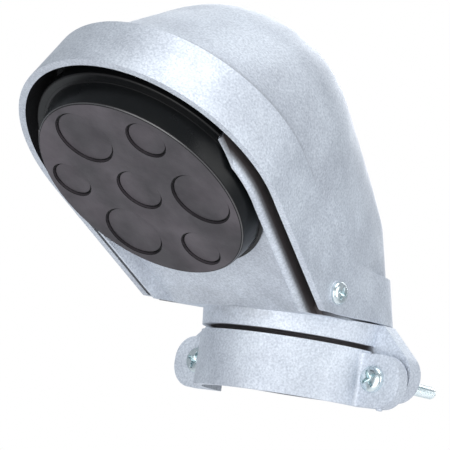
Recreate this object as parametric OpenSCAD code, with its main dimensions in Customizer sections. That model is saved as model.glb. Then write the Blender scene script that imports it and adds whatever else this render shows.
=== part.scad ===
// Clamp-on service entrance weatherhead for a 3 in. conduit mast.
// Millimetres. +Z runs up the conduit, the mouth faces -Y, and the piece is
// mirror-symmetric about X = 0, apart from how the insert is turned in its seat.
// The origin is on the conduit axis at the height of the two clamp screws.

/* [Conduit clamp] */
// Outside diameter of the conduit that the clamp grips
conduit_d = 88.9; // [85:0.1:92]
// Radial room between the conduit and the socket wall
socket_gap = 0.75; // [0.2:0.05:1]
// Wall of the strap round the conduit
strap_wall = 4.3; // [3.5:0.1:6]
// Height of the strap
strap_h = 28.5; // [24:0.5:34]
// Thickness of the strap's flat ears
strap_ear_t = 7; // [5:0.5:9]
// Radius of the fillet between the strap and its ears
strap_fillet = 2.5; // [1:0.1:2.6]
// Gap between the strap's ears and the saddle's ears
split_gap = 1.4; // [0.8:0.1:3]
// Distance from the strap's round outside to the axes of the clamp screws
screw_out = 8.7; // [7.4:0.1:11]
// How far the ears of strap and saddle stop short of the hood's sides
ear_short = 0.2; // [0:0.1:3]
// Height of the strap's ears
ear_h = 27; // [23:0.5:28]
// Radius of the corners of the strap's ears
ear_round = 12.5; // [6:0.5:13]

/* [Saddle and neck] */
// Wall of the saddle behind the conduit
saddle_wall = 2.6; // [2.2:0.1:4]
// Wall of the collar in front of the conduit, at its lower edge
collar_wall = 4.5; // [3.5:0.1:6]
// Draft of the collar, on the radius
collar_draft = 1.3; // [0.5:0.1:2]
// Thickness of the saddle's ears
saddle_ear_t = 9; // [7:0.5:12]
// Radius of the round ends of the saddle's ears
saddle_ear_r = 13.3; // [11:0.1:14]
// How far the ears' webs stand out past the saddle at the step
web_out = 6.2; // [3:0.1:8]
// How much higher than the strap the saddle's lower edge lies
saddle_lift = 4.5; // [0:0.5:6]
// Height of the collar's lower edge above the strap
collar_gap = 2.8; // [1.5:0.1:5]
// Height of the step under the hood, at the mouth's foot
step_z = 25.8; // [24:0.2:27]
// Rise of that step towards the back
seat_tilt = 2.4; // [0:0.1:3]
// Thickness of the ring that stops the conduit
stop_t = 4.5; // [2.5:0.5:6]
// How far below the step the conduit stops
stop_drop = 3.3; // [2:0.1:5]
// How far the stop ring reaches in from the socket wall
stop_w = 6.3; // [5:0.1:11]
// Wall of the throat
throat_wall = 3.3; // [2.5:0.1:3.3]
// Height of the throat inside the hood
throat_h = 7; // [5:0.5:8]
// Thickness of the shoulder that closes the hood from below
shoulder_t = 3.2; // [2.5:0.1:4]
// Room between the shoulder's edge and the hood
shoulder_gap = 1.2; // [0.8:0.1:2]

/* [Mouth] */
// Lift of the mouth's plane from level, towards the front
mouth_tilt = 34.4; // [30:0.2:40]
// How far in front of the conduit axis the mouth's centre lies
mouth_reach = 129.5; // [125:0.5:136]
// How far above the clamp screws the mouth's centre lies
mouth_rise = 77.2; // [74:0.2:82]
// Inner radius of the mouth's round upper part
mouth_r = 71; // [68:0.5:74]
// Inner half-width of the mouth at its foot
foot_half = 56; // [52:0.5:60]
// Distance from the mouth's centre down its slope to its foot
foot_drop = 92; // [88:0.5:94]

/* [Hood] */
// Wall of the hood
hood_wall = 3.8; // [3:0.1:4.5]
// Width of the visor band behind the mouth's edge
visor_w = 29; // [18:1:34]
// How far the visor band draws in towards the dome
visor_draft = 2; // [0.5:0.1:3]
// How far the dome starts below the band at the sides, and twice that on top
visor_step = 2.4; // [0.5:0.1:3]
// Radius of the dome
dome_r = 69.8; // [66:0.2:72]
// How far in front of the conduit axis the dome's centre lies
dome_reach = 90.2; // [86:0.2:96]
// Height of the dome's centre above the clamp screws
dome_rise = 99.4; // [96:0.2:104]
// How far the hood's skirt stands out past the saddle at its lower edge
skirt_out = 0.4; // [0:0.1:1.5]
// Height of the skirt
skirt_h = 27.6; // [20:0.2:32]
// Radius of the back half way up, where it bulges
back_r = 44; // [40:0.5:47]
// How far in front of the conduit axis that radius is centred
back_reach = 18; // [16:0.5:24]
// Height of that bulge above the clamp screws
back_rise = 78; // [70:1:90]
// How far the skirt leans in over its height
skirt_lean = 5.6; // [3:0.1:6]
// Step from the skirt in to the back of the dome
skirt_step = 2.4; // [0.8:0.1:3]
// Gap between the hood's lower edge and the step of the neck
seat_gap = 0.9; // [0.5:0.1:1.5]
// How far the pads under the hood screws' heads stand out
pad_h = 0.8; // [0.4:0.1:2]

/* [Tray] */
// Thickness of the sloping tray
tray_t = 4.5; // [3:0.5:6]
// How far the tray's face lies behind the mouth's edge
tray_depth = 2.5; // [1:0.5:6]
// Gap between the tray's edge and the hood
tray_gap = 4.6; // [3:0.2:7]
// Height of the ridges along the tray's two sides
ridge_h = 6.5; // [4:0.5:9]
// How far the ridges' outer sides roll out from crest to foot
ridge_roll = 4; // [2:0.1:6]
// Width of the flat on the ridges' crest
ridge_land = 1; // [0.5:0.1:2]
// How far the ridges' outer sides reach below the tray
ridge_under = 1; // [0.5:0.1:3]
// How far the ridges' inner sides slope in, below the insert
ridge_slope = 2; // [0.5:0.1:4]
// How far up past the mouth's centre the ridges end
ridge_tip = 28; // [15:1:40]
// Length over which the ridges fall away to that end
ridge_fall = 17; // [5:1:30]

/* [Insert] */
// Radius of the insert's face
insert_r = 57.1; // [54:0.1:58]
// How far the face stands out of the tray
insert_proud = 13.5; // [8:0.5:16]
// Widening of the insert from its face to its foot, on the radius
insert_draft = 2.4; // [0.5:0.1:3.5]
// Radius of the thin flange that rests on the tray
flange_r = 61.2; // [60.4:0.1:62.5]
// Thickness of the flange
flange_t = 1.5; // [1:0.1:2.5]
// Wall of the insert
insert_wall = 3.2; // [2:0.1:4]
// Wall of the spigot under the insert
spigot_wall = 2.2; // [1.5:0.1:3]
// How far that spigot reaches past the tray
spigot_past = 1.2; // [0.5:0.1:3]
// Bevel round the insert's face
face_bevel = 0.8; // [0.3:0.1:1.5]
// Turn of the insert in its seat
insert_turn = -6.6; // [-30:0.2:30]
// Radius of the three large knockouts
ko_large_r = 15.9; // [14:0.1:17]
// Radius of the three small knockouts
ko_small_r = 10.8; // [9:0.1:12]
// Radius of the middle knockout
ko_middle_r = 12.4; // [10:0.1:14]
// Width of the rim left outside the outer knockouts
ko_margin = 4.2; // [3:0.1:6]
// How far the knockouts lie below the face
ko_depth = 1.1; // [0.5:0.1:2]
// Depth of the groove along each knockout's foot, where it breaks out
groove_d = 0.5; // [0.2:0.1:1]
// Width of that groove
groove_w = 0.8; // [0.5:0.1:2]

/* [Screws] */
// Thread diameter of the clamp screws
clamp_screw_d = 6.35; // [6:0.05:7]
// Length of the clamp screws under the head
clamp_screw_l = 50.8; // [44:0.1:58]
// Head diameter of the clamp screws
clamp_head_d = 13.7; // [12:0.1:15]
// Head height of the clamp screws
clamp_head_h = 3.6; // [3:0.1:5]
// Thread diameter of the hood screws
hood_screw_d = 4.8; // [4:0.1:5.5]
// Length of the hood screws under the head
hood_screw_l = 15.9; // [12:0.1:18]
// Head diameter of the hood screws
hood_head_d = 11.4; // [9:0.1:12]
// Head height of the hood screws
hood_head_h = 2.9; // [2:0.1:4]
// Height of the hood screws above the step
hood_screw_up = 11; // [9:0.1:14]
// How far behind the mouth's foot the hood screws sit
hood_screw_back = 5.1; // [3.5:0.1:8]
// Thickness of the lugs that the hood screws bite into
lug_t = 8; // [6:0.5:9]
// Radius of the lugs round the screws
lug_r = 6.5; // [5.5:0.1:7]
// Gap between the lugs and the hood, in front of the screws
lug_gap = 1.2; // [0.5:0.1:3]
// Half-width of the screws' cross recess, as a share of the thread
recess_share = 0.16; // [0.1:0.01:0.25]
// Depth of that recess, as a share of the head's height
recess_depth = 0.55; // [0.3:0.05:0.8]
// Bevel of the screws' tips, as a share of the thread
tip_share = 0.12; // [0.05:0.01:0.2]

/* [Hidden] */
$fn = 96;

casting = [0.74, 0.76, 0.80];
moulding = [0.20, 0.19, 0.21];
zinc = [0.70, 0.76, 0.80];

bore_r = conduit_d / 2 + socket_gap;       // socket wall
strap_r = bore_r + strap_wall;             // outside of the strap
saddle_r = bore_r + saddle_wall;           // outside of the saddle
collar_r = bore_r + collar_wall;           // outside of the collar's lower edge
throat_r = bore_r - stop_w;                // inside of the throat
throat_out = throat_r + throat_wall;       // outside of the throat
skirt_r = saddle_r + skirt_out;            // outside of the skirt's lower edge
screw_x = strap_r + screw_out;             // axes of the clamp screws
ear_x = mouth_r + hood_wall - ear_short;   // outer end of the ears
ear_front = -split_gap / 2 - strap_ear_t;  // seat of the clamp screw heads
saddle_z = -strap_h / 2 + saddle_lift;     // lower edge of the saddle
collar_z = strap_h / 2 + collar_gap;       // lower edge of the collar
hood_z = step_z + seat_gap;                // lower edge of the hood, at the mouth's foot
stop_z = step_z - stop_drop;               // where the conduit ends
tray_back = tray_depth + tray_t;           // underside of the tray, behind the mouth
tray_drop = 1.2 * foot_drop;               // runs the tray on, to be cut off level
hollow_r = insert_r - 2 * insert_wall;     // inside of the insert
spigot_r = hollow_r + spigot_wall;         // outside of the insert's spigot
block = 3 * mouth_reach;                   // size of the blocks that cut along a plane
slip = 0.35;                               // radial room round a screw in a plain hole
bite = 0.05;                               // radial room round a screw in a tapped hole
blend = 0.4;                               // how far joined bodies run into each other
over = 1;                                  // how far a cutter runs past a face

// Point where a line from q touches a circle of radius r about the origin.
function touch(q, r, side) =
    let (a = atan2(q.y, q.x) + side * acos(r / norm(q)))
    r * [cos(a), sin(a)];

// Lean of the mouth's straight sides, and the same sides set in and run on.
mouth_lean = -atan2(touch([foot_half, -foot_drop], mouth_r, 1).y,
                    touch([foot_half, -foot_drop], mouth_r, 1).x);
function side_x(inset, drop) =
    (mouth_r - inset - drop * sin(mouth_lean)) / cos(mouth_lean);

// The mouth's foot, as a place in plan: half-width and distance to the front.
foot_y = mouth_reach - foot_drop * cos(mouth_tilt);
foot_out = side_x(-hood_wall, foot_drop);

// Height of the sloping seat between casting and hood, at a place along Y.
function seat_z(y) = step_z + (y + foot_y) * tan(seat_tilt);
collar_top = seat_z(collar_r + collar_draft);

// ---- frames -----------------------------------------------------------

// Children are drawn in the mouth's frame: X across, Y up its slope and
// Z out of it, with Z = 0 on the hood's edge.
module in_mouth() {
    translate([0, -mouth_reach, mouth_rise]) rotate([180 - mouth_tilt, 0, 0]) children();
}

// Children appear on both sides of X = 0.
module both_sides() {
    children();
    mirror([1, 0, 0]) children();
}

// Block that reaches up from the sloping seat between hood and casting.
module over_seat(z) {
    translate([0, -foot_y, z]) rotate([seat_tilt, 0, 0]) translate([-block / 2, -block / 2, 0]) cube(block);
}

// Block that reaches down from that slope.
module under_seat(z) {
    translate([0, -foot_y, z]) rotate([seat_tilt, 0, 0]) translate([-block / 2, -block / 2, -block]) cube(block);
}

// Block behind the mouth's plane, or further in by a given depth.
module behind_mouth(depth = 0) {
    in_mouth() translate([-block / 2, -block / 2, -block - depth]) cube(block);
}

// ---- outlines -----------------------------------------------------------

// A circle with two straight sides that run to a foot in front of it.
module tongue(r, half, drop) {
    p = touch([half, -drop], r, 1);
    circle(r = r);
    polygon([p, [half, -drop], [-half, -drop], [-p.x, p.y]]);
}

module mouth_outline(inset = 0, drop = foot_drop) {
    tongue(mouth_r - inset, side_x(inset, drop), drop);
}

// Plan of the skirt, where its rear half round has radius r.
module skirt_outline(r, inset = 0, front = 0) {
    tongue(r - inset, foot_out - inset, foot_y + front);
}

// ---- base casting ---------------------------------------------------------

// Half ring between two levels, on one side of the plane Y = 0.
module half_ring(r1, r2, z1, z2, side) {
    intersection() {
        translate([0, 0, z1]) cylinder(r1 = r1, r2 = r2, h = z2 - z1);
        translate([-block / 2, split_gap / 2 - (side < 0 ? block : 0), -block / 2]) cube(block);
    }
}

// Ear of the saddle: round end, level foot and a web that tapers up the neck.
module saddle_ear() {
    c = [ear_x - saddle_ear_r, saddle_z + saddle_ear_r];
    q = [saddle_r + web_out, seat_z(0)];
    t = c + touch(q - c, saddle_ear_r, -1);
    root_x = bore_r + blend;
    translate([0, split_gap / 2 + saddle_ear_t, 0]) rotate([90, 0, 0]) linear_extrude(saddle_ear_t) {
        translate(c) circle(r = saddle_ear_r);
        polygon([[root_x, saddle_z], [c.x, saddle_z], c, t, q, [root_x, q.y]]);
    }
}

// Ridge along the tray's edge, as a section seen along the edge, with the
// tray's face at Y = 0. Its outer side rolls over in a quarter of an ellipse.
module ridge_section() {
    crest_x = mouth_r - tray_gap - ridge_roll;
    foot = -tray_t - ridge_under;
    inner_x = crest_x - ridge_land;
    roll = [for (a = [0 : 10 : 90]) [crest_x + ridge_roll * cos(a), foot + (ridge_h - foot) * sin(a)]];
    polygon(concat(roll, [[inner_x, ridge_h], [inner_x - ridge_slope, 0], [inner_x - ridge_slope, foot]]));
}

// One ridge: round beside the insert, where its end falls away, and then
// straight down the tray's side.
module tray_ridge() {
    tip_turn = asin(ridge_tip / mouth_r);
    difference() {
        rotate([0, 0, -mouth_lean]) {
            rotate([90, 0, 0]) linear_extrude(tray_drop) ridge_section();
            rotate_extrude(angle = tip_turn + mouth_lean) ridge_section();
        }
        translate([-block / 2, ridge_tip - ridge_fall, ridge_h])
            rotate([-atan2(ridge_h, ridge_fall), 0, 0]) cube(block);
    }
}

module tray() {
    intersection() {
        over_seat(step_z - blend);
        in_mouth() difference() {
            union() {
                translate([0, 0, -tray_back]) linear_extrude(tray_t)
                    mouth_outline(tray_gap + ridge_roll, tray_drop);
                translate([0, 0, -tray_depth]) both_sides() tray_ridge();
            }
            translate([0, 0, -tray_depth]) cylinder(r = flange_r + slip, h = ridge_h + over);
            translate([0, 0, -tray_back - over]) cylinder(r = spigot_r + slip, h = tray_t + 2 * over);
        }
    }
}

// Shoulder that closes the hood from below, cut off where the tray's face is.
// It leaves room for the skirt's lean.
module shoulder() {
    top = seat_z(skirt_r) + shoulder_t;
    leaned_r = skirt_r - skirt_lean * (top - hood_z) / skirt_h;
    intersection() {
        translate([0, 0, step_z - over]) linear_extrude(top - step_z + over)
            skirt_outline(leaned_r, hood_wall + shoulder_gap);
        over_seat(step_z - blend);
        under_seat(step_z + shoulder_t);
        behind_mouth(tray_depth);
    }
}

// Lug that a hood screw bites into, standing on the shoulder. Its outer face
// follows the lean of the hood's wall at that height.
hood_screw_z = step_z + hood_screw_up;
hood_screw_y = foot_y - hood_screw_back;
module lug() {
    intersection() {
        union() {
            translate([0, -hood_screw_y, hood_screw_z]) rotate([0, 90, 0]) cylinder(r = lug_r, h = foot_out);
            translate([0, -hood_screw_y - lug_r, step_z]) cube([foot_out, 2 * lug_r, hood_screw_up]);
        }
        linear_extrude(block) difference() {
            skirt_outline(skirt_r - skirt_lean, hood_wall + lug_gap);
            skirt_outline(skirt_r - skirt_lean, hood_wall + lug_gap + lug_t);
        }
    }
}

module base_casting() {
    color(casting) difference() {
        union() {
            intersection() {
                union() {
                    half_ring(saddle_r, saddle_r, saddle_z, collar_top, 1);
                    half_ring(collar_r, collar_r + collar_draft, collar_z, collar_top, -1);
                    both_sides() saddle_ear();
                }
                under_seat(step_z);
            }
            translate([0, 0, stop_z]) cylinder(r = throat_out, h = stop_t + throat_h);
            tray();
            shoulder();
            intersection() {
                both_sides() lug();
                behind_mouth(tray_depth + blend);
            }
        }
        translate([0, 0, saddle_z - over]) cylinder(r = bore_r, h = stop_z - saddle_z + over);
        cylinder(r = throat_r, h = stop_z + stop_t + throat_h + over);
        both_sides() {
            translate([screw_x, 0, 0]) rotate([-90, 0, 0])
                cylinder(d = clamp_screw_d + 2 * bite, h = saddle_ear_t + split_gap / 2 + over);
            translate([foot_out, -hood_screw_y, hood_screw_z]) rotate([0, -90, 0])
                cylinder(d = hood_screw_d + 2 * bite, h = hood_screw_l + over);
        }
    }
}

// ---- hood -------------------------------------------------------------------

skirt_top = hood_z + skirt_h;

// Slab a given depth behind the mouth's edge.
module mouth_slab(depth, inset, drop, lower = 0) {
    in_mouth() translate([0, -lower, -depth]) linear_extrude(over)
        tongue(mouth_r - inset - lower, side_x(inset, drop), drop - lower, $fn = 72);
}

// Level slab in plan of the skirt.
module skirt_slab(z, r, inset, front) {
    translate([0, 0, z]) linear_extrude(over) skirt_outline(r, inset, front, $fn = 72);
}

// Outside of the hood, or with an inset its inside, open at the mouth and below:
// the visor band, the dome behind it and the skirt under that. The inside runs
// past the outside at its open sides.
module hood_form(inset) {
    run = inset > 0 ? over : 0;
    front_run = inset > 0 ? shoulder_gap + tray_gap : 0;
    top_r = skirt_r - skirt_lean;
    hull() {
        mouth_slab(over - run, inset - hood_wall, foot_drop + run);
        mouth_slab(visor_w, inset - hood_wall + visor_draft, foot_drop + run);
    }
    hull() {
        mouth_slab(visor_w, inset - hood_wall + visor_draft, foot_drop, visor_step);
        translate([0, -dome_reach, dome_rise]) sphere(r = dome_r - inset, $fn = 72);
        translate([0, -back_reach, back_rise]) cylinder(r = back_r - inset, h = over);
        skirt_slab(skirt_top - over, top_r - skirt_step, inset, -blend);
    }
    hull() {
        skirt_slab(hood_z - run, skirt_r, inset, front_run);
        skirt_slab(skirt_top - over, top_r, inset, front_run);
    }
}

module hood() {
    color(casting) difference() {
        union() {
            intersection() {
                hood_form(0);
                over_seat(hood_z);
                behind_mouth();
            }
            both_sides() translate([foot_out - hood_wall, -hood_screw_y, hood_screw_z])
                rotate([0, 90, 0]) cylinder(r = hood_head_d / 2 + slip, h = hood_wall + pad_h);
        }
        hood_form(hood_wall);
        both_sides() translate([foot_out - 3 * hood_wall, -hood_screw_y, hood_screw_z])
            rotate([0, 90, 0]) cylinder(r = hood_screw_d / 2 + slip, h = 5 * hood_wall);
    }
}

// ---- insert -----------------------------------------------------------------

// Half section of the moulding, from its axis out.
module insert_section() {
    foot_r = insert_r + insert_draft;
    spigot_h = tray_t + spigot_past;
    polygon([[0, insert_proud], [insert_r - face_bevel, insert_proud],
             [insert_r, insert_proud - face_bevel], [foot_r, flange_t], [flange_r, flange_t],
             [flange_r, 0], [spigot_r, 0], [spigot_r, -spigot_h], [hollow_r, -spigot_h],
             [hollow_r, insert_proud - insert_wall], [0, insert_proud - insert_wall]]);
}

// Sunk disc of one knockout, with a groove along its foot.
module knockout(r) {
    translate([0, 0, insert_proud - ko_depth]) cylinder(r = r, h = ko_depth + over);
    translate([0, 0, insert_proud - ko_depth - groove_d]) difference() {
        cylinder(r = r, h = groove_d + blend);
        translate([0, 0, -over]) cylinder(r = r - groove_w, h = groove_d + blend + 2 * over);
    }
}

module knockout_insert() {
    color(moulding) in_mouth() translate([0, 0, -tray_depth]) rotate([0, 0, insert_turn]) difference() {
        rotate_extrude($fn = 128) insert_section();
        knockout(ko_middle_r);
        for (turn = [0 : 120 : 359]) {
            rotate([0, 0, turn]) translate([insert_r - ko_margin - ko_large_r, 0, 0])
                knockout(ko_large_r);
            rotate([0, 0, turn + 60]) translate([insert_r - ko_margin - ko_small_r, 0, 0])
                knockout(ko_small_r);
        }
    }
}

// ---- clamp ------------------------------------------------------------------

// Ear of the strap, with a round end, flush with the strap below.
module strap_ear() {
    root_x = bore_r + blend;
    foot = -strap_h / 2;
    translate([0, ear_front + strap_ear_t, 0]) rotate([90, 0, 0]) linear_extrude(strap_ear_t) {
        translate([root_x, foot]) square([ear_x - ear_round - root_x, ear_h]);
        translate([root_x, foot + ear_round]) square([ear_x - root_x, ear_h - 2 * ear_round]);
        for (z = [foot + ear_round, foot + ear_h - ear_round])
            translate([ear_x - ear_round, z]) circle(r = ear_round);
    }
    // Fillet in the corner between the round strap and the ear's front.
    fillet_y = ear_front - strap_fillet;
    fillet_x = sqrt(pow(strap_r + strap_fillet, 2) - fillet_y * fillet_y);
    translate([0, 0, foot]) linear_extrude(ear_h) difference() {
        polygon([[root_x, ear_front + blend], [root_x, fillet_y], [fillet_x, fillet_y],
                 [fillet_x, ear_front + blend]]);
        translate([fillet_x, fillet_y]) circle(r = strap_fillet);
    }
}

module clamp_strap() {
    color(casting) difference() {
        union() {
            intersection() {
                cylinder(r = strap_r, h = strap_h, center = true);
                translate([-block / 2, -block - split_gap / 2, -block / 2]) cube(block);
            }
            both_sides() strap_ear();
        }
        cylinder(r = bore_r, h = strap_h + 2 * over, center = true);
        both_sides() translate([screw_x, ear_front - over, 0]) rotate([-90, 0, 0])
            cylinder(d = clamp_screw_d + 2 * slip, h = strap_ear_t + 2 * over);
    }
}

// ---- screws -----------------------------------------------------------------

// Pan-head screw along +Z with its seat at Z = 0 and its head below that.
module pan_screw(d, l, head_d, head_h) {
    flat = head_d / 2 - head_h / 2;
    recess = d * recess_share;
    tip = d * tip_share;
    difference() {
        rotate_extrude() {
            polygon([[0, -head_h], [flat, -head_h], [head_d / 2, -head_h / 2], [head_d / 2, 0],
                     [d / 2, 0], [d / 2, l - tip], [d / 2 - tip, l], [0, l]]);
        }
        for (turn = [0, 90])
            rotate([0, 0, turn]) translate([-d / 2, -recess, -head_h - over])
                cube([d, 2 * recess, head_h * recess_depth + over]);
    }
}

module clamp_screw(side) {
    color(zinc) translate([side * screw_x, ear_front, 0]) rotate([-90, 0, 0])
        pan_screw(clamp_screw_d, clamp_screw_l, clamp_head_d, clamp_head_h);
}

module clamp_screw_left() clamp_screw(-1);
module clamp_screw_right() clamp_screw(1);

module hood_screw(side) {
    color(zinc) translate([side * (foot_out + pad_h), -hood_screw_y, hood_screw_z])
        rotate([0, -side * 90, 0]) pan_screw(hood_screw_d, hood_screw_l, hood_head_d, hood_head_h);
}

module hood_screw_left() hood_screw(-1);
module hood_screw_right() hood_screw(1);

base_casting();
hood();
knockout_insert();
clamp_strap();
clamp_screw_left();
clamp_screw_right();
hood_screw_left();
hood_screw_right();
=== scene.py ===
"""Looks of a clamp-on service entrance weatherhead, dressed over its solid model.

Sizes in the sections are millimetres, and MM turns them into the model's metres.
+Z runs up the conduit, the mouth faces -Y, and X = 0 is the plane of symmetry.
"""

import bmesh
import bpy
import numpy as np
from mathutils import Matrix, Vector
from mathutils.bvhtree import BVHTree


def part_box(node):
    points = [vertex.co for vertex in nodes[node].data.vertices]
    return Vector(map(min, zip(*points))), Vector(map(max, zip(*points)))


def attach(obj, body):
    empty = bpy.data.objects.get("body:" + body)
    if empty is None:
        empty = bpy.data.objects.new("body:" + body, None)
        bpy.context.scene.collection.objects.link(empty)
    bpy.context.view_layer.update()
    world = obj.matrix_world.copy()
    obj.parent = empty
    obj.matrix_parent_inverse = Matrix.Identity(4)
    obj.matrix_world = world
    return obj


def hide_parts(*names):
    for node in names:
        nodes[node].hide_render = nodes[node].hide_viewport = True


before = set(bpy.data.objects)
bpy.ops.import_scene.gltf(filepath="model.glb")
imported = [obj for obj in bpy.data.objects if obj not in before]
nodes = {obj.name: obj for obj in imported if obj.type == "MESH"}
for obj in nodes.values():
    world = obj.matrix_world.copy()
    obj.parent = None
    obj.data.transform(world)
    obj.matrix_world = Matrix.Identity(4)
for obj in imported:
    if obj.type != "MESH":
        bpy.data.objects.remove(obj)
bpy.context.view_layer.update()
MM = 0.001

# ---- camera -----------------------------------------------------------------
# A long lens a little below the piece, to the right of its mouth, and rolled a
# few degrees, as the head lies a little to one side of upright.

eye = Vector((887.1, -1079.8, -85.9)) * MM
right = Vector((0.7533, 0.6384, 0.1580)).normalized()
back = Vector((0.6560, -0.7467, -0.1106))
back = (back - back.dot(right) * right).normalized()
up = back.cross(right)
camera = bpy.data.objects.new("camera", bpy.data.cameras.new("camera"))
camera.data.lens = 217.3
camera.data.sensor_width = 36.0
camera.data.clip_end = 20.0
camera.matrix_world = Matrix((right, up, back)).transposed().to_4x4()
camera.location = eye
bpy.context.scene.collection.objects.link(camera)
bpy.context.scene.camera = camera

# ---- floor and light ----------------------------------------------------------
# A plain pale floor well below the piece, an even room whose wall is white to the
# eye, and five soft lamps: above, in front, low in front, on the right and behind.

bpy.context.scene.view_settings.view_transform = "Standard"


def plain_material(name, colour, roughness, glow):
    """One even colour, gloss and glow, for what isn't part of the piece."""
    material = bpy.data.materials.new(name)
    material.use_nodes = True
    shader = material.node_tree.nodes["Principled BSDF"]
    shader.inputs["Base Color"].default_value = (*colour, 1.0)
    shader.inputs["Roughness"].default_value = roughness
    shader.inputs["Emission Color"].default_value = (*colour, 1.0)
    shader.inputs["Emission Strength"].default_value = glow
    return material


def mesh_piece(name, points, faces, smooth=True):
    """A mesh object at the origin from an array of points, in metres, and lists of faces."""
    mesh = bpy.data.meshes.new(name)
    mesh.from_pydata(np.asarray(points, float).reshape(-1, 3).tolist(), [], faces)
    mesh.polygons.foreach_set("use_smooth", np.full(len(mesh.polygons), smooth))
    mesh.update()
    piece = bpy.data.objects.new(name, mesh)
    bpy.context.scene.collection.objects.link(piece)
    return piece


floor_z = -0.85
floor_half = 6.0
corners = np.array([[-1, -1], [1, -1], [1, 1], [-1, 1]]) * floor_half
floor = mesh_piece("floor", np.column_stack([corners, np.full(4, floor_z)]), [(0, 1, 2, 3)], smooth=False)
floor.data.materials.append(plain_material("pale_floor", (0.86, 0.86, 0.87), 0.9, 0.02))

world = bpy.data.worlds.new("room")
world.use_nodes = True
room = world.node_tree
room.nodes["Background"].inputs["Color"].default_value = (0.86, 0.93, 1.0, 1.0)
room.nodes["Background"].inputs["Strength"].default_value = 0.47
white_wall = room.nodes.new("ShaderNodeBackground")
white_wall.inputs["Color"].default_value = (1.0, 1.0, 1.0, 1.0)
seen_or_lighting = room.nodes.new("ShaderNodeLightPath")
choose = room.nodes.new("ShaderNodeMixShader")
room.links.new(seen_or_lighting.outputs["Is Camera Ray"], choose.inputs["Fac"])
room.links.new(room.nodes["Background"].outputs["Background"], choose.inputs[1])
room.links.new(white_wall.outputs["Background"], choose.inputs[2])
room.links.new(choose.outputs["Shader"], room.nodes["World Output"].inputs["Surface"])
bpy.context.scene.world = world


middle_of_piece = Vector((0.0, -0.08, 0.07))


def soft_lamp(name, place, size, watts):
    """A square area lamp at a place, in metres, turned to face the piece."""
    lamp = bpy.data.objects.new(name, bpy.data.lights.new(name, "AREA"))
    lamp.data.size = size
    lamp.data.energy = watts
    lamp.location = place
    lamp.rotation_euler = (middle_of_piece - Vector(place)).to_track_quat("-Z", "Y").to_euler()
    lamp.visible_camera = False
    bpy.context.scene.collection.objects.link(lamp)


soft_lamp("top_lamp", (0.55, -0.35, 1.5), 1.1, 13.0)
soft_lamp("front_lamp", (0.75, -1.5, -0.15), 1.2, 5.0)
soft_lamp("low_lamp", (0.2, -1.3, -0.3), 1.0, 7.5)
soft_lamp("side_lamp", (1.6, 0.1, 0.2), 1.2, 8.3)
soft_lamp("back_lamp", (-0.8, 1.3, 0.8), 1.2, 18.0)

# ---- base casting -------------------------------------------------------------
# The lower casting: saddle, collar, throat and sloping tray in one piece of
# cast aluminium, tumbled after casting, which leaves a pale satin skin with soft spots.


def new_finish(name):
    """A new material, with its node tree, its shader and the piece's own coordinates."""
    material = bpy.data.materials.new(name)
    material.use_nodes = True
    tree = material.node_tree
    return material, tree, tree.nodes["Principled BSDF"], tree.nodes.new("ShaderNodeTexCoord")


def noise_of(tree, where, scale, detail):
    """Noise on Object coordinates, from 0 to 1."""
    noise = tree.nodes.new("ShaderNodeTexNoise")
    noise.inputs["Scale"].default_value = scale
    noise.inputs["Detail"].default_value = detail
    tree.links.new(where.outputs["Object"], noise.inputs["Vector"])
    return noise.outputs["Fac"]


def tinted_noise(tree, where, scale, detail, colours, spots):
    """Noise that runs from one colour to another between two noise values."""
    ramp = tree.nodes.new("ShaderNodeValToRGB")
    for stop, colour, spot in zip(ramp.color_ramp.elements, colours, spots):
        stop.position = spot
        stop.color = (*colour, 1.0)
    tree.links.new(noise_of(tree, where, scale, detail), ramp.inputs["Fac"])
    return ramp.outputs["Color"]


def noisy_gloss(tree, where, scale, detail, rough, spots):
    """Noise that runs from one roughness to another between two noise values."""
    return tinted_noise(tree, where, scale, detail, [(value,) * 3 for value in rough], spots)


def grain(tree, where, scale, detail, strength, depth):
    """Fine relief from noise, its depth in metres."""
    bump = tree.nodes.new("ShaderNodeBump")
    bump.inputs["Strength"].default_value = strength
    bump.inputs["Distance"].default_value = depth
    tree.links.new(noise_of(tree, where, scale, detail), bump.inputs["Height"])
    return bump.outputs["Normal"]


def multiplied(tree, first, second):
    """The product of two colours."""
    mix = tree.nodes.new("ShaderNodeMix")
    mix.data_type = "RGBA"
    mix.blend_type = "MULTIPLY"
    mix.inputs["Factor"].default_value = 1.0
    tree.links.new(first, mix.inputs["A"])
    tree.links.new(second, mix.inputs["B"])
    return mix.outputs["Result"]


def worked(tree, operation, *values):
    """A sum on sockets and plain numbers."""
    sum_node = tree.nodes.new("ShaderNodeMath")
    sum_node.operation = operation
    for socket, value in zip(sum_node.inputs, values):
        if isinstance(value, float):
            socket.default_value = value
        else:
            tree.links.new(value, socket)
    return sum_node.outputs["Value"]


def ranged(tree, value, low, high, at_low, at_high, interpolation="LINEAR"):
    """A value carried from one range, low to high, to another, and held past both ends."""
    carried = tree.nodes.new("ShaderNodeMapRange")
    carried.interpolation_type = interpolation
    for name, number in (("From Min", low), ("From Max", high), ("To Min", at_low), ("To Max", at_high)):
        carried.inputs[name].default_value = number
    tree.links.new(value, carried.inputs["Value"])
    return carried.outputs["Result"]


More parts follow.
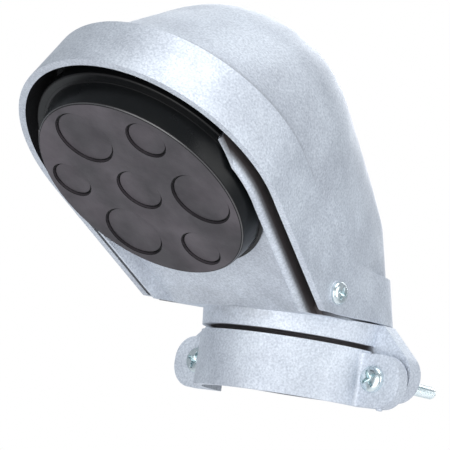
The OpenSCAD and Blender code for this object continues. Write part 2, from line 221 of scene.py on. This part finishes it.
def painted_shade_under_tray(tree, where):
    """1 everywhere but in the hollow under the tray's foot, in front of the collar, where
    it is less, to paint shade there: a band of height blurred by noise, in metres,
    times a fade towards the back."""
    split = tree.nodes.new("ShaderNodeSeparateXYZ")
    tree.links.new(where.outputs["Object"], split.inputs["Vector"])
    height = worked(tree, "MULTIPLY_ADD", noise_of(tree, where, 130.0, 6.0), 0.016, split.outputs["Z"])
    off_middle = worked(tree, "ABSOLUTE", worked(tree, "SUBTRACT", height, 0.0345))
    in_height = ranged(tree, off_middle, 0.0, 0.009, 1.0, 0.0, "SMOOTHSTEP")
    in_front = ranged(tree, split.outputs["Y"], -0.052, -0.030, 0.12, 0.0)
    return worked(tree, "SUBTRACT", 1.0, worked(tree, "MULTIPLY", in_height, in_front))


def cast_aluminium(name, dark, light):
    """Satin cast aluminium: colour in fine specks and wide clouds, with painted shade in the
    hollow under the tray's foot, cloudy gloss and a fine pebbled relief."""
    material, tree, shader, where = new_finish(name)
    shader.inputs["Metallic"].default_value = 0.75
    specks = tinted_noise(tree, where, 950.0, 4.0, (dark, light), (0.30, 0.70))
    clouds = tinted_noise(tree, where, 38.0, 7.0, ((0.88, 0.88, 0.89), (1.0, 1.0, 1.0)), (0.38, 0.60))
    # Specks and clouds are the metal's own tone; the last factor is painted shade under the tray's foot.
    colour = multiplied(tree, multiplied(tree, specks, clouds), painted_shade_under_tray(tree, where))
    tree.links.new(colour, shader.inputs["Base Color"])
    gloss = noisy_gloss(tree, where, 90.0, 6.0, (0.56, 0.68), (0.30, 0.70))
    tree.links.new(gloss, shader.inputs["Roughness"])
    tree.links.new(grain(tree, where, 800.0, 3.0, 0.5, 0.0003), shader.inputs["Normal"])
    return material


def copy_of_node(node, name, edge):
    """A welded copy of a solid, with faces that meet flatter than 32 degrees shaded
    smooth and edges sharper than 30 degrees eased by some millimetres, or by none."""
    mesh = nodes[node].data.copy()
    mesh.name = name
    mesh.materials.clear()
    for layer in ("sharp_face", "sharp_edge", "custom_normal"):
        if layer in mesh.attributes:
            mesh.attributes.remove(mesh.attributes[layer])
    piece = bpy.data.objects.new(name, mesh)
    bpy.context.scene.collection.objects.link(piece)
    work = bmesh.new()
    work.from_mesh(mesh)
    bmesh.ops.remove_doubles(work, verts=work.verts, dist=2e-6)
    bmesh.ops.dissolve_limit(work, angle_limit=np.radians(0.4), verts=work.verts, edges=work.edges)
    for face in work.faces:
        face.smooth = True
    work.to_mesh(mesh)
    work.free()
    mesh.set_sharp_from_angle(angle=np.radians(32.0))
    if edge:
        ease = piece.modifiers.new("eased_edges", "BEVEL")
        ease.width = edge * MM
        ease.segments = 2
        ease.limit_method = "ANGLE"
        ease.angle_limit = np.radians(30.0)
        ease.harden_normals = True
    return piece


def painted_shade_skin(skin, layer, tone):
    """The same skin with painted shade: gone towards a dark tone as far as a layer of the mesh says."""
    material = skin.copy()
    material.name = skin.name + "_" + layer
    tree = material.node_tree
    shader = tree.nodes["Principled BSDF"]
    old = shader.inputs["Base Color"].links[0].from_socket
    where = tree.nodes.new("ShaderNodeAttribute")
    where.attribute_name = layer
    mix = tree.nodes.new("ShaderNodeMix")
    mix.data_type = "RGBA"
    mix.inputs["B"].default_value = (*tone, 1.0)
    tree.links.new(where.outputs["Fac"], mix.inputs["Factor"])
    tree.links.new(old, mix.inputs["A"])
    tree.links.new(mix.outputs["Result"], shader.inputs["Base Color"])
    return material


def give_layer(mesh, name, values):
    """A number for each vertex, in a layer of the mesh that a finish can read."""
    mesh.attributes.new(name, "FLOAT", "POINT").data.foreach_set("value", values.astype(np.float32))


def fade(value, start, width):
    """0 up to a start, 1 from a width past it, and a straight line between."""
    return np.clip((value - start) / width, 0, 1)


casting_skin = cast_aluminium("casting_skin", (0.56, 0.60, 0.66), (0.80, 0.84, 0.90))
# The casting's skin with painted shade, near black as far as a layer of each mesh says.
shaded_casting_skin = painted_shade_skin(casting_skin, "painted_shade", (0.07, 0.06, 0.06))

# The mouth's plane: its middle, the way up its slope and the way in through it. Below
# its middle the tray's sides lean in towards the foot.
mouth_tilt = np.radians(34.4)
mouth_at = np.array([0.0, -129.5, 77.2])
up_slope = np.array([0.0, -np.cos(mouth_tilt), np.sin(mouth_tilt)])
inward = np.array([0.0, np.sin(mouth_tilt), np.cos(mouth_tilt)])
side_lean = np.radians(9.91)

base = copy_of_node("base_casting", "lower_casting", 0.5)
spots = np.array([v.co[:] for v in base.data.vertices]) / MM
across, level, behind = np.abs(spots[:, 0]), (spots - mouth_at) @ up_slope, (spots - mouth_at) @ inward

# Painted shade, dark: the ridges' outer flanks, outwards from the crest, and the socket's
# bore. A little painted shade: the tray's face round the insert.
crest_r, flank_start, flank_width, tray_edge = 62.4, 1.6, 1.4, 12.0
socket_r, socket_top = 45.4, 40.0
tray_depth, tray_foot, play = 2.5, -100.0, 0.3
in_bore, round_insert = 0.86, 0.22
from_arc = np.hypot(across, level)
from_side = across * np.cos(side_lean) - level * np.sin(side_lean)
outward = np.where(level < -across * np.tan(side_lean), from_side, from_arc) - crest_r
shade_amount = fade(outward, flank_start, flank_width) * (behind < tray_edge) * (level > tray_foot)
in_socket = (np.hypot(spots[:, 0], spots[:, 1]) < socket_r) & (spots[:, 2] < socket_top)
shade_amount = np.where(in_socket, in_bore, shade_amount)
on_tray = (np.abs(behind - tray_depth) < play) & (outward < 0)
shade_amount = np.where(on_tray, round_insert, shade_amount)
give_layer(base.data, "painted_shade", shade_amount * shade_amount * (3 - 2 * shade_amount))
base.data.materials.append(shaded_casting_skin)
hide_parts("base_casting")
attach(base, "head")

# ---- hood ---------------------------------------------------------------------
# The cast hood, one open shell with rounded lips: a drafted visor band round the
# mouth, the dome behind it and the skirt below. Its outside is felt off the solid in
# planes that each hold a line along X, smoothed, and given its wall inwards.

hood_wall = 3.8
mouth_r = 71.0
band_width, band_draft = 29.0, 2.0
skirt_top = 54.3
seat_turn = np.radians(2.4)
seat_at = np.array([0.0, -53.6, 26.7])
foot_out = 59.86
screw_back, screw_up = -48.5, 36.8
pad_r, pad_height, flat_beyond_pad = 6.1, 0.8, 3.0


def felt(solid, centres, directions):
    """Where rays that come in from outside towards the centres first meet a solid, or
    the centre where a ray misses, in millimetres."""
    reach = 300.0
    starts = centres + directions * reach
    hits = [solid.ray_cast(Vector(start * MM), Vector(-way)) for start, way in zip(starts, directions)]
    return np.array([hit[0][:] if hit[0] else centre * MM for hit, centre in zip(hits, centres)]) / MM


def fan(centre, turn, angles):
    """A centre and a direction for each angle, in the plane that holds a line along X
    and leans by a turn from +Y: cos(angle) along X and sin(angle) along the lean."""
    lean = np.array([0.0, np.cos(turn), np.sin(turn)])
    ways = np.cos(angles)[:, None] * np.array([1.0, 0.0, 0.0]) + np.sin(angles)[:, None] * lean
    return np.repeat(centre[None, :], len(angles), 0), ways


def relaxed(points, edges, kind, rounds):
    """Points drawn to the middle of their neighbours and let out again, so facets go
    and size stays. A point on an edge line moves with that line's points only."""
    here = np.concatenate([edges[:, 0], edges[:, 1]])
    there = np.concatenate([edges[:, 1], edges[:, 0]])
    counts = (kind[here] == 0) | ((kind[here] == kind[there]) & (kind[here] > 0))
    here, there = here[counts], there[counts]
    share = np.maximum(np.bincount(here, minlength=len(points)), 1)[:, None]
    moves = np.isin(np.arange(len(points)), here)[:, None]
    for pull in [0.5, -0.51] * rounds:
        total = np.stack([np.bincount(here, points[there, axis], len(points)) for axis in range(3)], -1)
        points = points + pull * moves * (total / share - points)
    return points


def grid_faces(index):
    """Quads between the rows and columns of a grid of vertex numbers."""
    return np.stack([index[:-1, :-1], index[:-1, 1:], index[1:, 1:], index[1:, :-1]], -1).reshape(-1, 4)


def level_of_seat(depth):
    """How far up the slope the hood's lower edge is, at a depth behind the mouth: where
    the slope meets the seat's plane, which rises to the back."""
    start = mouth_at + depth * inward - seat_at
    fall = np.tan(seat_turn)
    return -(start[2] - start[1] * fall) / (up_slope[2] - up_slope[1] * fall)


# The welded solid, with its two screw holes plugged, so that no ray falls through.
solid_hood = copy_of_node("hood", "hood_feeler", 0)
solid_hood.data.calc_loop_triangles()
corners = np.array([v.co[:] for v in solid_hood.data.vertices])
triangles = [tuple(t.vertices) for t in solid_hood.data.loop_triangles]
plug_half = 6
plug = plug_half * np.array([[0, 0], [1, 0], [0, 1], [-1, 0], [0, -1]])
for side in (-1, 1):
    first = len(corners)
    plug_out = np.full(len(plug), side * (foot_out + pad_height))
    spots = np.column_stack([plug_out, screw_back + plug[:, 0], screw_up + plug[:, 1]])
    corners = np.concatenate([corners, spots * MM])
    triangles += [(first, first + 1 + k, first + 1 + (k + 1) % 4) for k in range(4)]
feeler = BVHTree.FromPolygons([Vector(c) for c in corners], triangles)
bpy.data.objects.remove(solid_hood)

# The band: rows at depths behind the mouth, each up one side, over the arch and down the other.
columns, lower, dome_rows = 168, 18, 128
skin, seat_room, below_ledge = 0.05, 0.1, 0.3
arc = np.linspace(np.pi, 0, columns + 1)
share_down = np.linspace(0, 1, lower + 1)
corner_up = (skirt_top - (mouth_at + band_width * inward)[2]) / up_slope[2]
depths = np.concatenate([[0.0, 0.9, 1.9], np.linspace(3.2, band_width - 0.6, 16), [band_width - skin]])
band = []
for depth in depths:
    plane = mouth_at + max(depth, skin) * inward
    over = felt(feeler, *fan(plane + corner_up * up_slope, np.pi - mouth_tilt, arc))
    down = corner_up + share_down[1:] * (level_of_seat(depth) + seat_room - corner_up)
    centres = plane + down[:, None] * up_slope
    sides = [felt(feeler, centres, np.repeat([[way, 0.0, 0.0]], lower, 0)) for way in (-1.0, 1.0)]
    band.append(np.concatenate([sides[0][::-1], over, sides[1]]))
band = np.array(band)

# The dome: planes turned about the line where band, dome and skirt meet, from the band
# down to level. The skirt: planes that sink from there to the seat.
corner = mouth_at + band_width * inward + corner_up * up_slope
off_band, off_level = 0.008, 0.002
turns = (np.pi - mouth_tilt) - np.linspace(off_band, np.pi - mouth_tilt - off_level, dome_rows)
dome = [felt(feeler, *fan(corner, turn, arc)) for turn in turns]
skirt = []
for share in share_down:
    sunk = share * (level_of_seat(band_width) + seat_room - corner_up)
    centre = corner + sunk * up_slope - np.array([0.0, 0.0, below_ledge * (1 - share)])
    skirt.append(felt(feeler, *fan(centre, share * seat_turn, arc)))
body = np.array(dome + skirt)
body[dome_rows:, 0] = band[-1, :lower + 1][::-1]
body[dome_rows:, -1] = band[-1, -lower - 1:]

# The back is a little fuller than straight lines from crown to skirt, and the side
# runs on under the screws' pads.
fullness, full_down_from = 2.4, np.radians(125.0)
turned_down = np.concatenate([turns, np.zeros(len(skirt))])[:, None] / full_down_from
fuller = fullness * np.sin(np.pi * np.clip(turned_down, 0, 1) ** 0.8) * np.sin(arc)[None, :]
away = body - corner
body = body + away / np.linalg.norm(away, axis=2, keepdims=True).clip(1) * fuller[..., None]
for grid in (band, body):
    beside = np.hypot(grid[..., 1] - screw_back, grid[..., 2] - screw_up) < pad_r + flat_beyond_pad
    deep, level = (grid - mouth_at) @ inward, (grid - mouth_at) @ up_slope
    half_width = mouth_r + hood_wall - band_draft * deep / band_width + level * np.sin(side_lean)
    side_x = np.sign(grid[..., 0]) * half_width / np.cos(side_lean)
    grid[..., 0] = np.where(beside, side_x, grid[..., 0])

# Where a step has run out, its two edges are one line.
least_crest, least_ledge = 0.85, 0.8
crest_step = np.linalg.norm(band[-1, lower:-lower] - body[0], axis=1) > least_crest
ledge_step = np.linalg.norm(body[dome_rows - 1] - body[dome_rows], axis=1) > least_ledge
body[0] = np.where(crest_step[:, None], body[0], band[-1, lower:-lower])
body[dome_rows] = np.where(ledge_step[:, None], body[dome_rows], body[dome_rows - 1])

first_body = band.shape[0] * band.shape[1]
band_index = np.arange(first_body).reshape(band.shape[:2])
body_index = first_body + np.arange(body.shape[0] * body.shape[1]).reshape(body.shape[:2])
seam = np.stack([band_index[-1, lower:-lower], body_index[0]])
points = np.concatenate([band.reshape(-1, 3), body.reshape(-1, 3)])
faces = np.concatenate([grid_faces(band_index), grid_faces(seam), grid_faces(body_index)])

# Lines that keep their shape, numbered: the mouth's lip, the foot's lip, and the upper
# and lower edges of both steps where they are clear. The mouth's two corners stay put.
kind = np.zeros(len(points), int)
kind[band_index[-1, lower:-lower][crest_step]] = 3
kind[body_index[0][crest_step]] = 4
kind[body_index[dome_rows - 1][ledge_step]] = 5
kind[body_index[dome_rows][ledge_step]] = 6
kind[band_index[0]] = 1
kind[np.concatenate([band_index[:, 0], band_index[:, -1], body_index[-1]])] = 2
kind[[band_index[0, 0], band_index[0, -1]]] = -1

# Painted shade: the dome's flanks and the left of the band are painted a little darker, and
# the corner under the band's step darkest, until that step runs out down the side.
painted_dark = np.zeros(len(points))
over_side = fade(np.sin(arc), 0.35, 0.35)
crown = fade(np.sin(arc), 0.86, 0.12)
on_left = np.concatenate([np.ones(lower), fade(arc, 1.3, 0.4), np.zeros(lower)])
in_corner = fade(np.sin(arc), 0.55, 0.3) * crest_step
painted_dark[body_index[:dome_rows]] = 0.08 * over_side * (1 - crown)
painted_dark[band_index] = 0.15 * on_left
painted_dark[body_index[0]] = 0.75 * in_corner
painted_dark[body_index[1]] = 0.3 * in_corner

# The wall's inner side is painted dark as shade, but for a strip along the lip near the foot.
deep, level = (points - mouth_at) @ inward, (points - mouth_at) @ up_slope
darkest, lighter_by = 0.965, 0.62
near_lip, near_foot = 1 - fade(deep, 5, 4), 1 - fade(level, -30, 18)
inside = darkest - lighter_by * near_lip * near_foot

hood = mesh_piece("hood_casting", points * MM, faces.tolist())
give_layer(hood.data, "inside", inside)
give_layer(hood.data, "painted_shade", painted_dark)
give_layer(hood.data, "kind", kind)
work = bmesh.new()
work.from_mesh(hood.data)
bmesh.ops.remove_doubles(work, verts=work.verts, dist=0.2 * MM)
bmesh.ops.recalc_face_normals(work, faces=work.faces)
work.to_mesh(hood.data)
work.free()

points = np.array([v.co[:] for v in hood.data.vertices]) / MM
edges = np.array([e.vertices[:] for e in hood.data.edges])
kind = np.array([round(item.value) for item in hood.data.attributes["kind"].data])
hood.data.attributes.remove(hood.data.attributes["kind"])
points = relaxed(points, edges, kind, 45)
hood.data.vertices.foreach_set("co", (points * MM).ravel())
hood.data.update()
hood.data.set_sharp_from_angle(angle=np.radians(38.0))
thick = hood.modifiers.new("wall", "SOLIDIFY")
thick.thickness = hood_wall * MM
thick.offset = -1
thick.material_offset = 1
lips = hood.modifiers.new("lips", "BEVEL")
lips.width = 0.7 * MM
lips.segments = 3
lips.limit_method = "ANGLE"
lips.angle_limit = np.radians(65.0)
lips.harden_normals = True
# Outside: the skin with the painted shade above; inside: the skin with painted shade near black.
hood.data.materials.append(shaded_casting_skin)
hood.data.materials.append(painted_shade_skin(casting_skin, "inside", (0.022, 0.020, 0.021)))
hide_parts("hood")
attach(hood, "head")

# ---- knockout insert ------------------------------------------------------------
# The dark moulded cap that closes the mouth: a matte face with seven sunk knockouts,
# a glossy side, and a flange that rests on the tray and laps its upper edge.

def moulding(name, colour, rough, relief, shine, dusty=False):
    """Dark moulded plastic with a faint cloud in its colour and gloss and a fine relief,
    and where dusty, with wider paler clouds as well."""
    material, tree, shader, where = new_finish(name)
    shader.inputs["Specular IOR Level"].default_value = shine
    tone = tinted_noise(tree, where, 55.0, 5.0, (tuple(0.8 * c for c in colour), colour), (0.35, 0.65))
    if dusty:
        dust = tinted_noise(tree, where, 30.0, 8.0, ((0.60, 0.60, 0.62), (1.22, 1.20, 1.22)), (0.40, 0.62))
        tone = multiplied(tree, tone, dust)
    tree.links.new(tone, shader.inputs["Base Color"])
    gloss = noisy_gloss(tree, where, 80.0, 4.0, rough, (0.35, 0.65))
    tree.links.new(gloss, shader.inputs["Roughness"])
    tree.links.new(grain(tree, where, 700.0, 2.0, relief, 0.0002), shader.inputs["Normal"])
    return material


insert = copy_of_node("knockout_insert", "insert_moulding", 0.36)
for finish in (moulding("insert_side", (0.004, 0.0045, 0.005), (0.26, 0.36), 0.08, 0.25),
               moulding("insert_face", (0.060, 0.051, 0.058), (0.44, 0.62), 0.3, 0.5, dusty=True),
               moulding("insert_rim", (0.05, 0.048, 0.05), (0.24, 0.34), 0.1, 0.7),
               moulding("insert_edges", (0.008, 0.0075, 0.008), (0.50, 0.60), 0.1, 0.2)):
    insert.data.materials.append(finish)

# The face and the knockouts' floors are matte, the bevel round the face shines a little,
# and the side and the grooves are black. So are all eased edges, the fourth finish.
face_from, rim_lean = 9.75, (0.35, 0.9)
centres = np.array([face.center[:] for face in insert.data.polygons]) / MM
normals = np.array([face.normal[:] for face in insert.data.polygons])
is_face = (mouth_at - centres) @ inward > face_from
lean_out = -normals @ inward
is_rim = is_face & (lean_out > rim_lean[0]) & (lean_out < rim_lean[1])
insert.data.polygons.foreach_set("material_index", (is_face * 1 + is_rim * 1).astype(np.int32))
insert.modifiers["eased_edges"].material = 3


def mouth_point(across, level, out_by):
    """Points from places across the mouth, up its slope and out of it: the mouth's
    middle plus each of the three times its own way."""
    sideways = across[..., None] * np.array([1.0, 0.0, 0.0])
    return mouth_at + sideways + level[..., None] * up_slope - out_by[..., None] * inward


def wrapped_grid(rows, columns, first):
    """Quads of a grid that closes on itself along its columns, for points stored row by
    row, and the two ends, as lists of vertex numbers."""
    index = first + np.arange(rows * columns).reshape(rows, columns)
    quads = grid_faces(np.column_stack([index, index[:, 0]]))
    return quads.tolist() + [index[0, ::-1].tolist(), index[-1].tolist()]


def joined(piece, points, faces, smooth):
    """A closed form joined to a piece's mesh, with all faces turned outwards."""
    form = mesh_piece(piece.name + "_form", points * MM, faces, smooth)
    both = bmesh.new()
    both.from_mesh(piece.data)
    both.from_mesh(form.data)
    bmesh.ops.recalc_face_normals(both, faces=both.faces)
    both.to_mesh(piece.data)
    both.free()
    bpy.data.objects.remove(form)


# Lip of the flange, which laps the tray's upper edge between the two ridges: a profile
# of radius and reach out of the mouth, carried round an arc.
lip = np.array([[60.9, -1.0], [64.4, -1.0], [64.9, -1.5], [64.9, -7.6], [62.6, -7.6], [62.6, -2.3],
                [60.9, -2.3]])
around = np.radians(np.linspace(24.0, 156.0, 90))[:, None]
lip_points = mouth_point(lip[:, 0] * np.cos(around), lip[:, 0] * np.sin(around), lip[:, 1] + 0 * around)
joined(insert, lip_points, wrapped_grid(*lip_points.shape[:2], 0), True)
insert.data.set_sharp_from_angle(angle=np.radians(32.0))
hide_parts("knockout_insert")
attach(insert, "head")

# ---- clamp strap ------------------------------------------------------------------
# The cast half strap that the two long screws pull to the saddle, with a flat ear at
# each end. The place of the size figure cast on the real one is left bare.

strap = copy_of_node("clamp_strap", "strap_casting", 0.7)
strap.data.materials.append(casting_skin)

# Stub of a casting gate, snapped off under one ear: rings of a radius at a height.
stub_across, stub_back, stub_r, stub_low = 63.0, -5.0, 1.7, -15.3
stub_profile = np.array([[stub_r - 0.5, stub_low], [stub_r, stub_low + 0.4], [stub_r, -13.0]])
around = np.linspace(0, 2 * np.pi, 16, endpoint=False)
reach, height = stub_profile[:, :1], stub_profile[:, 1:] + 0 * around
stub = np.stack([stub_across + reach * np.cos(around), stub_back + reach * np.sin(around), height], -1)
joined(strap, stub, wrapped_grid(*stub.shape[:2], 0), False)
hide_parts("clamp_strap")
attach(strap, "strap")

# ---- screws -------------------------------------------------------------------------
# Four steel machine screws with pan heads and cross recesses, rolled threads and
# bright zinc plate: two long ones close the clamp, and two short ones hold the hood.


def turned(radius, height, turn):
    """Points at a radius and a height along Z, for each turn in radians."""
    return np.stack([radius * np.cos(turn), radius * np.sin(turn), height + 0 * turn], -1)


def cross_recess(x, y, size):
    """Depth of the recess below the head: four tapered wings that meet in the
    middle, deeper towards it, with the wall's slope spread over a small width."""
    wing_half, wing_reach, wall = 0.13 * size, 0.62 * size, 0.04 * size
    middle_depth, end_depth = 0.42 * size, 0.2 * size
    depth = np.zeros_like(x)
    for along, across in ((np.abs(x), np.abs(y)), (np.abs(y), np.abs(x))):
        reach = np.clip(along / wing_reach, 0, 1)
        half = wing_half * (1.25 - 0.5 * reach)
        inside = fade(half - across, 0, wall) * fade(wing_reach - along, 0, wall)
        depth = np.maximum(depth, inside * (middle_depth + (end_depth - middle_depth) * reach))
    return depth


def pan_head(radius, height, thread):
    """Head of revolution along -Z: reach and rise from the crown to the rim each to the
    power 3.2 add up to 1, then the flat seat, with the recess taken out of the crown."""
    columns, power, pinhole = 120, 3.2, 0.004
    crown = np.linspace(pinhole, 0.97, 56)
    crown_up = (1 - crown ** power) ** (1 / power)
    side_up = np.linspace(crown_up[-1], 0, 9)[1:]
    side = (1 - side_up ** power) ** (1 / power)
    seat = np.linspace(1, pinhole, 6)[1:]
    reach = np.concatenate([crown, side, seat]) * radius
    level = -np.concatenate([crown_up, side_up, 0 * seat]) * height
    turn = np.linspace(0, 2 * np.pi, columns, endpoint=False)
    points = turned(reach[:, None], level[:, None], turn[None, :])
    cut = cross_recess(points[..., 0], points[..., 1], 1.15 * thread)
    cut[len(crown):] = 0
    points[..., 2] += cut
    return points


def threaded_shank(radius, length, pitch):
    """Shank of revolution along +Z: its radius follows a vee that climbs one pitch
    a turn, and runs out at both ends."""
    columns, per_pitch, vee, pinhole = 48, 10, 0.54 * pitch, 0.02 * radius
    level = np.concatenate([[0.0], np.linspace(0, length, int(length / pitch * per_pitch))])
    turn = np.linspace(0, 2 * np.pi, columns, endpoint=False)
    phase = (level[:, None] / pitch - turn[None, :] / (2 * np.pi)) % 1
    height = np.clip(1.25 * (1 - np.abs(2 * phase - 1)) - 0.12, 0, 1)
    run_out = fade(level, 0.9 * pitch, 1.5 * pitch) * fade(length - level, 0, pitch)
    reach = radius - vee + vee * height * run_out[:, None]
    reach = reach * np.clip((length - level) / pitch + 0.82, 0, 1)[:, None]
    reach[0] = pinhole
    points = turned(reach, level[:, None], turn[None, :])
    tip = turned(np.full((1, 1), pinhole), np.full((1, 1), length), turn[None, :])
    return np.concatenate([points, tip])


def machine_screw(name, seat, along, across, turn, thread, length, head_d, head_h, pitch):
    """Head and shank as two closed shells, laid along an axis from the seat's place in
    metres and turned about it by degrees."""
    head = pan_head(head_d / 2, head_h, thread)
    shank = threaded_shank(thread / 2, length, pitch)
    points, faces = [], []
    for shell in (head, shank):
        first = sum(len(p) for p in points)
        points.append(shell.reshape(-1, 3))
        faces += wrapped_grid(*shell.shape[:2], first)
    spin = np.radians(turn)
    side = np.cos(spin) * across + np.sin(spin) * np.cross(along, across)
    axes = np.stack([side, np.cross(along, side), along])
    screw = mesh_piece(name, seat + np.concatenate(points) @ axes * MM, faces)
    screw.data.set_sharp_from_angle(angle=np.radians(40.0))
    return screw


def zinc_plate(name):
    """Bright zinc plate: a cool tint that drifts a little, and a faint grain."""
    material, tree, shader, where = new_finish(name)
    shader.inputs["Metallic"].default_value = 1.0
    tint = tinted_noise(tree, where, 260.0, 3.0, ((0.60, 0.70, 0.72), (0.80, 0.86, 0.88)), (0.35, 0.65))
    tree.links.new(tint, shader.inputs["Base Color"])
    gloss = noisy_gloss(tree, where, 500.0, 3.0, (0.16, 0.30), (0.35, 0.65))
    tree.links.new(gloss, shader.inputs["Roughness"])
    tree.links.new(grain(tree, where, 1500.0, 2.0, 0.15, 0.0001), shader.inputs["Normal"])
    return material


bright_zinc = zinc_plate("bright_zinc")
clamp_size = dict(thread=6.35, length=50.8, head_d=13.7, head_h=3.6, pitch=1.27)
hood_size = dict(thread=4.8, length=15.9, head_d=11.4, head_h=2.9, pitch=1.06)

# The heads stand a hair off their seats, so that no two faces lie in one plane.
seat_lift = 0.03
for node, along, body, size, turn in (
        ("clamp_screw_left", (0, 1, 0), "screw_left", clamp_size, 22.0),
        ("clamp_screw_right", (0, 1, 0), "screw_right", clamp_size, 58.0),
        ("hood_screw_left", (1, 0, 0), "head", hood_size, 35.0),
        ("hood_screw_right", (-1, 0, 0), "head", hood_size, 12.0)):
    low, high = (np.array(corner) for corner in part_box(node))
    along = np.array(along, float)
    crown = low if along.sum() > 0 else high
    seat = np.where(along != 0, crown, (low + high) / 2) + along * (size["head_h"] - seat_lift) * MM
    name = node.replace("screw", "machine_screw")
    screw = machine_screw(name, seat, along, np.array([0.0, 0.0, 1.0]), turn, **size)
    screw.data.materials.append(bright_zinc)
    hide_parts(node)
    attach(screw, body)

# ---- hood screw pads ------------------------------------------------------------------
# Two cast pads on the hood's sides, flat faces under the heads of its screws: discs
# of revolution about the screws' axes with an eased rim, rooted in the hood's wall.

pad_reach = pad_r * np.array([0.02, 1.0, 1.0, 0.985, 0.94, 0.02])
pad_level = np.array([-3.0, -3.0, pad_height - 0.35, pad_height - 0.1, pad_height, pad_height])
around = np.linspace(0, 2 * np.pi, 64, endpoint=False)
disc = turned(pad_reach[:, None], foot_out + pad_level[:, None], around).reshape(-1, 3)
for name, axes in (("hood_pad_left", [[0, 0, 1], [0, 1, 0], [-1, 0, 0]]),
                   ("hood_pad_right", [[0, 1, 0], [0, 0, 1], [1, 0, 0]])):
    place = disc @ np.array(axes) + [0.0, screw_back, screw_up]
    pad = mesh_piece(name, place * MM, wrapped_grid(len(pad_reach), len(around), 0))
    pad.data.set_sharp_from_angle(angle=np.radians(50.0))
    pad.data.materials.append(casting_skin)
    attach(pad, "head")
